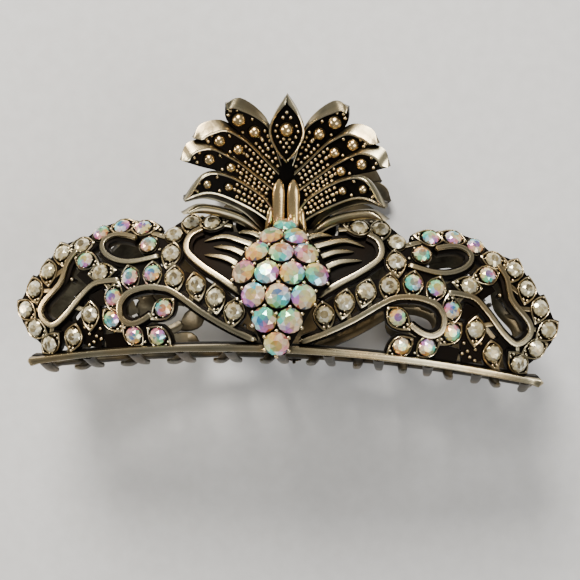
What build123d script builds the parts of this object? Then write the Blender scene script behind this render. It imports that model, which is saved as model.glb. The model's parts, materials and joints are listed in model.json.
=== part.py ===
from build123d import *
import os
from math import atan, cos, radians, sin, sqrt

# Rhinestone jaw hair clip: two cast jaws on a hinge pin, a torsion spring, and set stones.
# Clip frame, mm: X across the clip, Y from the rim's ends up to the crown, Z out of the parting
# plane through the front jaw. The rear jaw is the front one turned half round about Y.

# Wing wall: part of a torus whose axis is parallel to Y
WALL_APEX = 17.5
WALL_APEX_Y = 9.0
WALL_PROFILE_R = 24.0
WALL_PLAN_R = 103.0
WALL_T = 1.8
WALL_AXIS_Z = WALL_APEX - WALL_PLAN_R
WALL_MAJOR_R = WALL_PLAN_R - WALL_PROFILE_R

# Rim bar and teeth
RIM_HALF = 41.0
RIM_RISE = 3.4
RIM_W = 1.1
RIM_PROUD = 0.9
TOOTH_PITCH = 7.7
TOOTH_W = 1.6
TOOTH_PAST_MIDDLE = 1.5
TOOTH_BOW = 2.4
TOOTH_INNER_DROP = 1.0
TOOTH_OUTER_DROP = 1.7
TOOTH_ROOT = 0.5

# Outlines are drawn at one height and pushed up through the surface that they are cut from
OUTLINE_Z = 2.0
OUTLINE_DEPTH = 30.0

# Filigree
BAR_W = 1.2
BAND_W = 2.4
BRIDGE_W = 1.0

# Small stones of the wings and large stones of the cluster
SMALL_R = 1.3
SMALL_FOOT = 0.3
SMALL_GIRDLE = 0.25
SMALL_CROWN = 0.55
SMALL_PAD_R = 1.8
LARGE_R = 1.9
LARGE_FOOT = 0.35
LARGE_GIRDLE = 0.25
LARGE_CROWN = 0.8
LARGE_HEIGHT = LARGE_FOOT + LARGE_GIRDLE + LARGE_CROWN
LARGE_PAD_R = 2.05
FOOT_SHARE = 0.8
SEAT_CLEARANCE = 0.04
POCKET_DEPTH = 3.0
TABLE_SHARE = 0.6

# Cluster bed: part of a sphere
BED_Y = 10.0
BED_Z = 6.8
BED_R = 14.0
BED_T = 2.0
BED_OUTLINE = [(0, 2.6), (6.4, 14.0), (2.6, 21.4), (-2.6, 21.4), (-6.4, 14.0)]
TABLE_R = 15.0
CLUSTER_ROWS = (1, 2, 3, 4, 3, 2, 1)
CLUSTER_FIRST = -25.2
CLUSTER_ROW_STEP = 15.1
CLUSTER_SIDE_STEP = 15.8

# Crown: leaves cut from a tube whose axis leans back over the front jaw
CROWN_FOOT_Y = 20.0
CROWN_FOOT_Z = 9.5
CROWN_LEAN = atan(0.43)
CROWN_R = 35.0
CROWN_T = 1.5
CROWN_LENGTH = 90.0
STEM_HALF = 1.7
STEM_Y = (25.0, 35.0)
NECK_HALF = 7.6
NECK_Y = (19.5, 26.0)

# Hinge and spring
HINGE_Y = 22.0
PIN_R = 1.0
PIN_CLEARANCE = 0.05
PIN_HEAD_R = 1.7
PIN_HEAD_T = 0.8
LUG_T = 1.8
LUG_X = (-6.0, 4.0)
LUG_EYE_R = 2.6
LUG_OUTLINE = [(17.2, 12.6), (20.6, 12.6), (24.4, 10.0), (24.4, 0), (19.6, 0)]
WIRE_R = 0.4
LEG_R = 0.41
COIL_R = 1.9
COIL_LENGTH = 3.9
LEG_ANGLE = 58.0
LEG_LENGTH = 13.2
COIL_TURNS = 3 + (360 - 2 * (90 - LEG_ANGLE)) / 360

# Bars of the right-hand wing, as routes from end to end
BARS = {
    "outer_loop": [(33.4, 18.4), (34.6, 15.8), (35.6, 12.3), (38.3, 9.4), (38.6, 7.6), (37.4, 6.15),
                   (36.2, 5.9), (34.3, 7.4), (32.0, 10.2), (29.9, 12.3), (27.8, 12.9), (25.2, 13.2)],
    "upper_oval": [(19.0, 17.2), (22.8, 16.3), (25.5, 16.2), (27.8, 17.0), (28.9, 18.3),
                   (28.8, 19.6), (27.3, 20.6), (25.5, 20.6), (23.3, 20.1)],
    "swoosh": [(3.6, 4.3), (7.1, 6.0), (11.4, 8.2), (15.5, 10.8), (17.7, 11.85), (20.4, 12.1),
               (22.6, 11.7), (24.2, 10.9), (25.1, 9.5), (25.1, 8.0), (24.5, 6.9), (23.3, 6.4),
               (22.0, 6.65), (20.8, 7.5), (19.6, 8.7)],
    "inner_loop": [(5.6, 11.4), (9.2, 13.7), (11.4, 15.0), (13.4, 16.4), (14.9, 17.8), (15.2, 19.3),
                   (14.5, 20.8), (13.2, 21.8)],
    "long_finger": [(4.0, 19.2), (7.0, 20.3), (9.4, 20.7), (12.3, 20.2)],
    "middle_finger": [(4.5, 17.2), (7.6, 18.6), (10.7, 19.2)],
    "low_finger": [(6.0, 16.0), (8.6, 17.2), (12.1, 17.8)],
}
BRIDGES = [((36.7, 6.2), (37.1, 3.2)), ((33.2, 3.6), (33.9, 1.2)), ((26.8, 10.8), (28.0, 12.8)),
           ((30.6, 8.2), (33.2, 8.8)), ((17.4, 16.8), (16.9, 14.8)), ((18.6, 20.6), (21.2, 21.0)),
           ((6.7, 8.4), (7.3, 6.2)), ((10.1, 10.2), (10.6, 7.9)), ((13.3, 12.2), (13.9, 9.8)),
           ((37.0, 13.6), (34.6, 15.2)), ((7.6, 22.6), (11.0, 23.2)), ((39.6, 8.2), (38.2, 8.4)),
           ((39.4, 11.2), (36.4, 11.4))]

# Rows of small stones in the right-hand wing: a route, how many stones, and the node of each
ROWS = {
    "outer_row": ([(37.1, 2.8), (41.6, 8.2), (37.8, 14.8), (35.5, 17.8), (31.9, 19.0),
                   (29.5, 20.9), (25.8, 22.0), (22.7, 21.7)],
                  ["outer"] * 7 + ["upper"] * 3),
    "crown_side_row": ([(17.5, 17.5), (17.8, 20.0), (15.2, 22.6), (11.6, 22.8)],
                       ["crown_side"] * 4),
    "middle_row": ([(6.9, 8.8), (13.2, 12.7), (20.3, 14.3), (23.8, 13.7)],
                   ["middle"] * 4 + ["inner"] * 2),
    "branch_row": ([(28.9, 14.3), (31.7, 16.2)], ["middle", "inner"]),
    "lower_row": ([(26.3, 10.4), (26.4, 7.0), (30.1, 7.7), (32.9, 4.2)],
                  ["inner"] * 2 + ["outer"] * 2),
    "rim_row": ([(22.7, 4.6), (18.8, 4.6)], ["inner"] * 2),
    "oval_end": ([(21.4, 18.9), (21.1, 18.8)], ["upper"]),
    "swoosh_end": ([(18.0, 8.9), (18.3, 8.8)], ["inner"]),
}
CORNER_ROWS = ("lower_row",)

# Sunk field inside the inner loop, which the fingers stand on
FIELD = [(3.6, 21.6), (13.0, 21.8), (14.9, 19.4), (14.4, 17.6), (10.0, 14.2), (5.6, 11.4)]
FIELD_DEPTH = 0.8

# Leaves of the crown's right-hand side: upper edge and lower edge, both from root to tip
LEAVES = [
    ([(0.8, 33.0), (3.0, 38.3), (6.8, 41.3), (9.5, 40.6)],
     [(1.3, 31.0), (4.0, 33.4), (7.2, 36.2), (9.3, 38.4), (9.5, 40.6)]),
    ([(1.2, 31.5), (6.7, 36.0), (9.9, 38.0), (13.0, 37.2), (14.4, 35.2)],
     [(1.4, 28.2), (5.6, 31.0), (9.5, 33.6), (12.6, 34.7), (14.4, 35.2)]),
    ([(1.4, 28.7), (8.7, 33.3), (12.3, 35.1), (15.2, 34.2), (16.3, 31.8)],
     [(1.9, 25.6), (6.0, 28.8), (10.0, 30.6), (13.6, 31.2), (16.3, 31.8)]),
    ([(1.9, 26.0), (4.1, 28.1), (9.1, 30.5), (13.0, 30.3), (16.1, 26.2)],
     [(2.5, 23.6), (6.5, 25.8), (11.8, 27.4), (16.1, 26.2)]),
    ([(3.0, 22.8), (7.0, 24.8), (13.0, 25.6), (16.0, 23.9)],
     [(3.5, 21.2), (7.5, 23.2), (12.0, 24.1), (16.0, 23.9)]),
]
CENTRE_LEAF = [(0, 32.6), (1.9, 34.6), (2.9, 37.2), (1.8, 40.1), (0, 42.6)]


def wall_point(x, y, out=0.0):
    """Point of the wing wall's outer surface above (x, y), moved out along the normal."""
    ring = WALL_MAJOR_R + sqrt(WALL_PROFILE_R ** 2 - (y - WALL_APEX_Y) ** 2)
    z = WALL_AXIS_Z + sqrt(ring ** 2 - x ** 2)
    radial = Vector(x, 0, z - WALL_AXIS_Z).normalized()
    centre = Vector(0, WALL_APEX_Y, WALL_AXIS_Z) + radial * WALL_MAJOR_R
    normal = (Vector(x, y, z) - centre).normalized()
    return Vector(x, y, z) + normal * out, normal


def rim_height(x):
    """Height of the rim bar's middle line at x."""
    sagitta_r = (RIM_HALF ** 2 + RIM_RISE ** 2) / (2 * RIM_RISE)
    return RIM_RISE - sagitta_r + sqrt(sagitta_r ** 2 - x ** 2)


def row_places(route, count, corners):
    """Evenly spaced places along a row's route; a route with corners holds one at each point."""
    if corners or count == 1:
        return [Vector(*route[i]) for i in range(count)]
    line = Spline(*route, mode=Mode.PRIVATE) if len(route) > 2 else Line(*route, mode=Mode.PRIVATE)
    return [line @ (i / (count - 1)) for i in range(count)]


def wing_seats(group=None):
    """Seat planes of the right-hand wing's stones, on the floors of their pockets."""
    seats = []
    for name, (route, groups) in ROWS.items():
        places = row_places(route, len(groups), name in CORNER_ROWS)
        for place, belongs in zip(places, groups):
            if group in (None, belongs):
                origin, normal = wall_point(place.X, place.Y, -SMALL_FOOT)
                seats.append(Plane(origin=origin, x_dir=(0, 1, 0), z_dir=normal))
    return seats


def cluster_seats():
    """Seat planes of the cluster's stones, from the lowest row up and from left to right."""
    seats = []
    for row, count in enumerate(CLUSTER_ROWS):
        lift = radians(CLUSTER_FIRST + CLUSTER_ROW_STEP * row)
        for i in range(count):
            side = radians(CLUSTER_SIDE_STEP) * (i - (count - 1) / 2) / cos(lift)
            normal = Vector(cos(lift) * sin(side), sin(lift), cos(lift) * cos(side))
            origin = Vector(0, BED_Y, BED_Z) + normal * (TABLE_R - LARGE_HEIGHT)
            seats.append(Plane(origin=origin, x_dir=(1, 0, 0), z_dir=normal))
    return seats


def mirrored(seat):
    """The same seat in the left-hand wing."""
    o, n = seat.origin, seat.z_dir
    return Plane(origin=(-o.X, o.Y, o.Z), x_dir=(0, 1, 0), z_dir=(-n.X, n.Y, n.Z))


def torus_about_y(minor_r):
    """Solid torus that the wing wall's surfaces are parts of."""
    turn = Location((0, WALL_APEX_Y, WALL_AXIS_Z), (90, 0, 0))
    return turn * Torus(WALL_MAJOR_R, minor_r, mode=Mode.PRIVATE)


def make_wings():
    """Pierced wall of both wings, before the stone pockets are cut."""
    with BuildSketch(Plane.XY.offset(OUTLINE_Z)) as pattern:
        for route in BARS.values():
            with BuildLine():
                Spline(*route)
            trace(line_width=BAR_W)
        for start, end in BRIDGES:
            with BuildLine():
                Line(start, end)
            trace(line_width=BRIDGE_W)
        for name, (route, groups) in ROWS.items():
            corners = name in CORNER_ROWS
            with BuildLine():
                if corners or len(route) == 2:
                    Polyline(*route)
                else:
                    Spline(*route)
            trace(line_width=BAND_W)
            places = row_places(route, len(groups), corners)
            with Locations(*[(p.X, p.Y) for p in places]):
                Circle(SMALL_PAD_R)
    with BuildPart() as wings:
        add(pattern.sketch)
        extrude(amount=OUTLINE_DEPTH)
        add(torus_about_y(WALL_PROFILE_R), mode=Mode.INTERSECT)
        add(torus_about_y(WALL_PROFILE_R - WALL_T), mode=Mode.SUBTRACT)
        mirror(about=Plane.YZ)
    return wings.part


def make_field():
    """Sunk fields of both inner loops."""
    with BuildSketch(Plane.XY.offset(OUTLINE_Z)) as patch:
        with BuildLine():
            Polyline(*FIELD, close=True)
        make_face()
    with BuildPart() as field:
        add(patch.sketch)
        extrude(amount=OUTLINE_DEPTH)
        add(torus_about_y(WALL_PROFILE_R - FIELD_DEPTH), mode=Mode.INTERSECT)
        add(torus_about_y(WALL_PROFILE_R - WALL_T), mode=Mode.SUBTRACT)
        mirror(about=Plane.YZ)
    return field.part


def make_rim():
    """Arched rim bar that stands proud of the wall."""
    with BuildSketch(Plane.XY.offset(OUTLINE_Z)) as band:
        with BuildLine():
            ThreePointArc((-RIM_HALF, 0), (0, RIM_RISE), (RIM_HALF, 0))
        trace(line_width=RIM_W)
    with BuildPart() as rim:
        add(band.sketch)
        extrude(amount=OUTLINE_DEPTH)
        add(torus_about_y(WALL_PROFILE_R + RIM_PROUD), mode=Mode.INTERSECT)
        add(torus_about_y(WALL_PROFILE_R - WALL_T), mode=Mode.SUBTRACT)
    return rim.part


def make_tooth(x):
    """One curved tooth from the rim inwards to just past the parting plane."""
    y = rim_height(x)
    z = wall_point(x, y)[0].Z
    with BuildPart() as tooth:
        with BuildSketch(Plane.YZ.offset(x)):
            with BuildLine():
                outer = ThreePointArc((y - TOOTH_ROOT, z), (y - TOOTH_BOW, z / 2),
                                      (y - TOOTH_OUTER_DROP, -TOOTH_PAST_MIDDLE))
                tip = Line(outer @ 1, (y - TOOTH_INNER_DROP, -TOOTH_PAST_MIDDLE))
                inner = ThreePointArc(tip @ 1, (y - TOOTH_INNER_DROP, z / 2),
                                      (y + TOOTH_ROOT, z - TOOTH_W / 2))
                Line(inner @ 1, outer @ 0)
            make_face()
        extrude(amount=TOOTH_W / 2, both=True)
    return tooth.part


def make_bed():
    """Domed bed under the cluster of large stones."""
    places = [seat.origin for seat in cluster_seats()]
    with BuildSketch(Plane.XY.offset(OUTLINE_Z)) as outline:
        with Locations(*[(p.X, p.Y) for p in places]):
            Circle(LARGE_PAD_R)
        with BuildLine():
            Polyline(*BED_OUTLINE, close=True)
        make_face()
    with BuildPart() as bed:
        add(outline.sketch)
        extrude(amount=OUTLINE_DEPTH)
        with Locations((0, BED_Y, BED_Z)):
            Sphere(BED_R, mode=Mode.INTERSECT)
            Sphere(BED_R - BED_T, mode=Mode.SUBTRACT)
        with Locations((0, BED_Y, BED_Z - BED_R)):
            Box(3 * BED_R, 3 * BED_R, 2 * BED_R, mode=Mode.SUBTRACT)
    return bed.part


def make_crown():
    """Fan of leaves that is the finger lever, with the neck that joins it to the jaw."""
    with BuildSketch(Plane.XY.offset(OUTLINE_Z)) as outline:
        for upper, lower in LEAVES:
            with BuildLine():
                Spline(*upper)
                Spline(*lower)
                Line(upper[0], lower[0])
            make_face()
        with BuildLine():
            Spline(*CENTRE_LEAF)
            Line(CENTRE_LEAF[-1], CENTRE_LEAF[0])
        make_face()
        mirror(about=Plane.YZ)
        with Locations((0, (NECK_Y[0] + NECK_Y[1]) / 2)):
            Rectangle(2 * NECK_HALF, NECK_Y[1] - NECK_Y[0])
        with Locations((0, (STEM_Y[0] + STEM_Y[1]) / 2)):
            Rectangle(2 * STEM_HALF, STEM_Y[1] - STEM_Y[0])
    axis_foot = (0, CROWN_FOOT_Y - CROWN_R * sin(CROWN_LEAN), CROWN_FOOT_Z + CROWN_R * cos(CROWN_LEAN))
    along = Plane(origin=axis_foot, x_dir=(1, 0, 0), z_dir=(0, cos(CROWN_LEAN), sin(CROWN_LEAN)))
    with BuildPart() as crown:
        add(outline.sketch)
        extrude(amount=OUTLINE_DEPTH)
        with Locations(along.location):
            Cylinder(CROWN_R + CROWN_T, CROWN_LENGTH, mode=Mode.INTERSECT)
            Cylinder(CROWN_R, CROWN_LENGTH, mode=Mode.SUBTRACT)
    return crown.part


def make_lug(x):
    """Hinge ear from the pin's eye up to the bed and the crown's neck."""
    with BuildPart() as lug:
        with BuildSketch(Plane.YZ.offset(x)):
            with Locations((HINGE_Y, 0)):
                Circle(LUG_EYE_R)
            with BuildLine():
                Polyline(*LUG_OUTLINE, close=True)
            make_face()
        extrude(amount=LUG_T / 2, both=True)
    return lug.part


def make_jaw(teeth):
    """A whole jaw casting, in the front jaw's place."""
    small_seats = wing_seats()
    small_seats += [mirrored(seat) for seat in small_seats]
    pin_axis = Location((0, HINGE_Y, 0), (0, 90, 0))
    with BuildPart() as jaw:
        add(make_wings())
        add(make_field())
        add(make_rim())
        add(make_bed())
        add(make_crown())
        add([make_lug(x) for x in LUG_X])
        add([make_tooth(x) for x in teeth])
        with Locations(*[seat.location for seat in small_seats]):
            Cylinder(FOOT_SHARE * SMALL_R + SEAT_CLEARANCE, POCKET_DEPTH, mode=Mode.SUBTRACT,
                     align=(Align.CENTER, Align.CENTER, Align.MIN))
        with Locations(*[seat.location for seat in cluster_seats()]):
            Cylinder(FOOT_SHARE * LARGE_R + SEAT_CLEARANCE, POCKET_DEPTH, mode=Mode.SUBTRACT,
                     align=(Align.CENTER, Align.CENTER, Align.MIN))
        with Locations(*[seat.offset(LARGE_FOOT).location for seat in cluster_seats()]):
            Cylinder(LARGE_R + SEAT_CLEARANCE, LARGE_GIRDLE + LARGE_CROWN, mode=Mode.SUBTRACT,
                     align=(Align.CENTER, Align.CENTER, Align.MIN))
        with Locations(pin_axis):
            Cylinder(PIN_R + PIN_CLEARANCE, 4 * NECK_HALF, mode=Mode.SUBTRACT)
    return jaw.part


def make_stones(seats, radius, foot, girdle, crown):
    """Stones on their seats: a foot in the pocket, a girdle, and a cone cut off at the table."""
    upright = (Align.CENTER, Align.CENTER, Align.MIN)
    with BuildPart() as stones:
        with Locations(*[seat.location for seat in seats]):
            Cylinder(FOOT_SHARE * radius, foot, align=upright)
        with Locations(*[seat.offset(foot).location for seat in seats]):
            Cylinder(radius, girdle, align=upright)
        with Locations(*[seat.offset(foot + girdle).location for seat in seats]):
            Cone(radius, radius * TABLE_SHARE, crown, align=upright)
    return stones.part


def make_pin():
    """Hinge pin with both ends peened over."""
    head_x = LUG_T / 2 - LUG_X[0] + 2 * PIN_CLEARANCE
    with BuildPart() as pin:
        with BuildSketch(Plane.XY):
            with BuildLine():
                Polyline((-head_x - PIN_HEAD_T, HINGE_Y), (-head_x - PIN_HEAD_T, HINGE_Y + PIN_HEAD_R),
                         (-head_x, HINGE_Y + PIN_HEAD_R), (-head_x, HINGE_Y + PIN_R),
                         (head_x, HINGE_Y + PIN_R), (head_x, HINGE_Y + PIN_HEAD_R),
                         (head_x + PIN_HEAD_T, HINGE_Y + PIN_HEAD_R), (head_x + PIN_HEAD_T, HINGE_Y),
                         close=True)
            make_face()
        revolve(axis=Axis((0, HINGE_Y, 0), (1, 0, 0)))
    return pin.part


def make_spring():
    """Torsion spring: a coil round the pin with one straight leg behind each crown."""
    coil = Helix(pitch=COIL_LENGTH / COIL_TURNS, height=COIL_LENGTH, radius=COIL_R,
                 center=(-COIL_LENGTH / 2, HINGE_Y, 0), direction=(1, 0, 0))
    coil = coil.rotate(Axis((0, HINGE_Y, 0), (1, 0, 0)), -LEG_ANGLE)
    leg_angle = radians(LEG_ANGLE)
    with BuildPart() as spring:
        with BuildSketch(Plane(origin=coil @ 0, z_dir=coil % 0)):
            Circle(WIRE_R)
        sweep(path=coil)
        for end, side in ((coil @ 0, -1), (coil @ 1, 1)):
            along = (0, cos(leg_angle), side * sin(leg_angle))
            with BuildSketch(Plane(origin=end, z_dir=along)):
                Circle(LEG_R)
            extrude(amount=LEG_LENGTH)
    return spring.part


def all_pieces():
    """Every finished piece in the clip frame, by node name."""
    half_turn = Rot(0, 180, 0)
    even_teeth = [TOOTH_PITCH * i for i in range(-5, 6)]
    odd_teeth = [TOOTH_PITCH * (i + 0.5) for i in range(-5, 5)]
    pieces = {"front_jaw": make_jaw(even_teeth), "rear_jaw": half_turn * make_jaw(odd_teeth)}
    pieces["hinge_pin"] = make_pin()
    pieces["torsion_spring"] = make_spring()
    for number, seat in enumerate(cluster_seats(), 1):
        stone = make_stones([seat], LARGE_R, LARGE_FOOT, LARGE_GIRDLE, LARGE_CROWN)
        pieces[f"front_cluster_stone_{number:02d}"] = stone
        pieces[f"rear_cluster_stone_{number:02d}"] = half_turn * stone
    for group in ("outer", "upper", "crown_side", "middle", "inner"):
        right = wing_seats(group)
        for side, seats in (("right", right), ("left", [mirrored(seat) for seat in right])):
            stones = make_stones(seats, SMALL_R, SMALL_FOOT, SMALL_GIRDLE, SMALL_CROWN)
            pieces[f"front_{side}_{group}_stones"] = stones
            other = "left" if side == "right" else "right"
            pieces[f"rear_{other}_{group}_stones"] = half_turn * stones
    return pieces


def main():
    """Stand the clip on its rear jaw, centred over the origin, and write every piece."""
    pieces = all_pieces()
    boxes = [piece.bounding_box() for piece in pieces.values()]
    low = [min(box.min.X for box in boxes), min(box.min.Y for box in boxes), min(box.min.Z for box in boxes)]
    high = [max(box.max.X for box in boxes), max(box.max.Y for box in boxes)]
    rest = Pos(-(low[0] + high[0]) / 2, -(low[1] + high[1]) / 2, -low[2])
    print("parting plane height", -low[2], "shift", -(low[0] + high[0]) / 2, -(low[1] + high[1]) / 2)
    os.makedirs("parts", exist_ok=True)
    for name, piece in pieces.items():
        placed = rest * piece
        placed.label = name
        export_step(placed, f"parts/{name}.step")


main()
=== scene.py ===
import json
import math
import random

import bmesh
import bpy
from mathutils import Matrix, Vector


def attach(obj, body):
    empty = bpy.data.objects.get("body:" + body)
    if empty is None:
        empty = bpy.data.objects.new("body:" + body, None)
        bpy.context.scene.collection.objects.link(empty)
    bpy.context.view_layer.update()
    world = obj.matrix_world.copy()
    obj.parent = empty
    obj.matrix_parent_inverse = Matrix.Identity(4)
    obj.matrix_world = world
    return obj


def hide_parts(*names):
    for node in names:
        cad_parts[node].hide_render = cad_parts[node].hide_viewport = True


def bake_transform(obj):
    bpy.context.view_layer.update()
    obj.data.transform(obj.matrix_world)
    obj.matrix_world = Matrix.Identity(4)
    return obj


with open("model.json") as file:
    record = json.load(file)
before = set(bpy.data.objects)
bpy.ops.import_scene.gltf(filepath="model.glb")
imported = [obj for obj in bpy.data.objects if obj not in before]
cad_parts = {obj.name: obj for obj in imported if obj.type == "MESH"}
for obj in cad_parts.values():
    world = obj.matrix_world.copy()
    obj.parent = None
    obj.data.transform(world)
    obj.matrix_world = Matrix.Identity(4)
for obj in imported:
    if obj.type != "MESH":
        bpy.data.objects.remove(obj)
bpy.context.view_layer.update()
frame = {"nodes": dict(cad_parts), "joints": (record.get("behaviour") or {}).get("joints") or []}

# Everything is worked out in the clip frame, in mm: X across the clip, Y from the rim's ends up to
# the crown, Z out of the parting plane through the front jaw. place() turns it into the row frame.
MM = 0.001
HINGE_Y = 22.0
HINGE = Vector(frame["joints"][0]["pos_m"])
SHIFT = HINGE - Vector((0, HINGE_Y * MM, 0))

# Wing wall: part of a torus whose axis is parallel to Y
WALL_APEX_Y = 9.0
WALL_PROFILE_R = 24.0
WALL_PLAN_R = 103.0
WALL_AXIS_Z = 17.5 - WALL_PLAN_R
WALL_MAJOR_R = WALL_PLAN_R - WALL_PROFILE_R
WALL_BACK = -1.5

# Rim and teeth
RIM_HALF = 41.3
RIM_RISE = 3.4
TOOTH_PITCH = 7.7
TOOTH_PAST_MIDDLE = 1.5
TOOTH_BOW = 1.5

# Stones, with the heights of their foot, girdle and crown, and the most that one is turned
SMALL_R = 1.3
SMALL_CUT = (0.3, 0.15, 0.52)
LARGE_R = 1.94
LARGE_CUT = (0.35, 0.2, 0.85)
MOST_TURN = 0.8

# Cluster: rows of large stones on a dome, with radii from the dome's centre and angles in degrees
BED_CENTRE = Vector((0, 10.0, 6.8))
SEAT_R = 13.6
DOME_R = 13.75
DOME_BACK_R = 12.1
CLAW_R = 14.15
CLUSTER_ROWS = (1, 2, 3, 4, 3, 2, 1)
CLUSTER_FIRST = -25.2
CLUSTER_ROW_STEP = 15.1
CLUSTER_SIDE_STEP = 15.8

# Dome's edge, as (lift in degrees, half width), with the widths measured OUTLINE_R from its centre
OUTLINE_R = 14
DOME_OUTLINE = [(-33.5, 1.2), (-25, 2.4), (-10, 4.2), (5, 6.1), (20, 7.9), (35, 6.2), (50, 4.3), (66, 2.4),
                (74, 1.4)]

# Crown: a leaning tube that the leaves follow
CROWN_FOOT = Vector((0, 20.0, 9.5))
CROWN_R = 35.0
CROWN_LEAN = math.atan(0.43)

# Hinge and spring, with the lug's outline beyond its eye as (Y, Z) from the pin's axis
LUG_T = 1.8
LUG_X = (-6.0, 4.0)
LUG_EYE_R = 2.6
LUG_BORE_R = 1.06
LUG_SHANK = ((2.5, 5.0), (2.4, 10.0), (-1.4, 12.6), (-4.8, 12.6), (-3.4, 6.0), (-2.6, 2.0))
WIRE_R = 0.4
COIL_R = 1.9
COIL_LENGTH = 3.9
LEG_ANGLE = math.radians(64)
LEG_LENGTH = 14.3

# Smooth bars of the right-hand wing, as routes from end to end, with their widths
BARS = {
    "outer_loop": (
        [(33.2, 18.2), (34.7, 15.8), (35.6, 12.6), (38.3, 9.4), (38.7, 7.6), (37.6, 6.2), (36.2, 5.9),
         (34.3, 7.4), (32.0, 10.2), (29.9, 12.3), (27.8, 12.9), (25.4, 13.1)], 0.9),
    "upper_oval": (
        [(19.2, 17.1), (22.8, 16.2), (25.5, 16.1), (27.8, 16.9), (29.0, 18.2), (28.9, 19.5),
         (27.4, 20.4), (25.5, 20.4), (23.4, 19.9)], 0.85),
    "swoosh": (
        [(3.2, 4.4), (7.1, 6.0), (11.4, 8.2), (15.5, 10.8), (17.7, 11.85), (20.4, 12.1), (22.6, 11.7),
         (24.2, 10.9), (25.1, 9.5), (25.1, 8.0), (24.5, 6.9), (23.3, 6.4), (22.0, 6.65), (20.8, 7.3),
         (19.9, 8.0)], 0.9),
    "inner_loop": (
        [(5.6, 11.4), (9.2, 13.7), (11.4, 15.0), (13.4, 16.4), (14.9, 17.8), (15.2, 19.3),
         (14.5, 20.8), (12.9, 21.7)], 0.95),
}

# Rows of small stones in the right-hand wing: route, then for each group the directions of its
# settings' beaded ends in degrees (None for a plain round setting). The stones stand evenly along
# the route, or at its points in the corner rows.
ROWS = {
    "outer_row": (
        [(37.1, 2.8), (41.6, 8.2), (37.8, 14.8), (35.5, 17.8), (31.9, 19.0), (29.5, 20.9),
         (25.8, 22.0), (22.7, 21.7)],
        {"outer": (135, 200, 214, 248, 255, 245, 352), "upper": (None, 172, 180)}),
    "crown_side_row": (
        [(17.5, 17.5), (17.8, 20.0), (15.2, 22.6), (11.6, 22.8)],
        {"crown_side": (275, None, 265, 170)}),
    "middle_row": (
        [(6.9, 8.8), (13.2, 12.7), (20.3, 14.3), (23.8, 13.7)],
        {"middle": (282, 262, 255, 265), "inner": (262, 250)}),
    "branch_row": ([(28.9, 14.3), (31.7, 16.2)], {"middle": (175,), "inner": (200,)}),
    "lower_row": (
        [(26.3, 10.4), (26.4, 7.0), (30.1, 7.7), (32.9, 4.2)],
        {"inner": (100, 225), "outer": (268, 285)}),
    "rim_row": ([(22.7, 4.6), (18.8, 4.6)], {"inner": (45, 215)}),
    "oval_end": ([(21.4, 18.9)], {"upper": (None,)}),
    "swoosh_end": ([(18.0, 8.9)], {"inner": (318,)}),
}
CORNER_ROWS = ("lower_row",)
GROUPS = ("outer", "upper", "crown_side", "middle", "inner")
AURORA_GROUPS = ("upper", "inner")

# Routes and widths of the further webs between the settings
WEBS = [([(29.8, 2.6), (29.4, 6.2)], 3.2), ([(26.4, 7.0), (22.7, 4.6)], 1.8),
        ([(32.9, 4.2), (34.6, 6.0)], 2.2), ([(28.6, 9.0), (29.6, 11.2)], 2.6),
        ([(22.3, 19.0), (19.0, 20.0)], 2.6), ([(19.4, 16.8), (19.2, 19.0)], 2.2),
        ([(24.2, 4.0), (27.6, 3.4)], 2.4), ([(30.6, 13.0), (32.6, 14.6)], 1.8)]

# Ends of the short ties that join bars and settings
TIES = [((36.7, 6.2), (37.1, 3.2)), ((33.2, 3.6), (33.9, 1.4)), ((30.6, 8.2), (33.2, 8.8)),
        ((26.8, 11.4), (28.0, 12.8)), ((17.5, 16.6), (16.9, 14.8)), ((18.8, 20.3), (21.2, 21.0)),
        ((7.2, 8.0), (7.6, 6.3)), ((10.4, 9.8), (10.8, 8.0)), ((13.5, 11.8), (13.9, 10.0)),
        ((37.0, 13.6), (34.8, 15.2)), ((39.6, 8.2), (38.2, 8.4)), ((39.4, 11.2), (36.6, 11.4)),
        ((8.4, 22.4), (11.0, 22.8))]

# Beads that stand on the webs by themselves
LOOSE_BEADS = [(19.9, 21.5), (19.6, 20.6), (20.3, 19.9), (19.5, 18.2), (13.4, 23.9), (24.1, 22.9),
               (33.8, 13.2), (31.0, 5.6), (30.2, 4.6), (29.0, 4.3), (28.4, 5.5), (29.4, 3.4),
               (28.2, 3.9), (24.4, 5.9), (20.9, 3.6), (30.2, 2.9)]

# Sunk field inside the inner loop, as its two long edges, and the ribs that cross it
FIELD = ([(3.6, 21.6), (9.0, 22.0), (13.0, 21.8), (14.9, 19.4)],
         [(4.0, 14.0), (6.0, 12.0), (10.0, 14.2), (14.6, 17.8)])
FIELD_DEPTH = -0.75
FIELD_RIBS = [[(3.6, 18.9), (7.0, 20.1), (9.6, 20.7), (12.6, 20.0)],
              [(4.5, 17.0), (7.8, 18.6), (11.0, 19.1)],
              [(6.0, 15.6), (8.8, 17.1), (12.3, 17.7)],
              [(3.2, 20.6), (5.2, 21.4), (7.4, 21.6)]]

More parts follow.
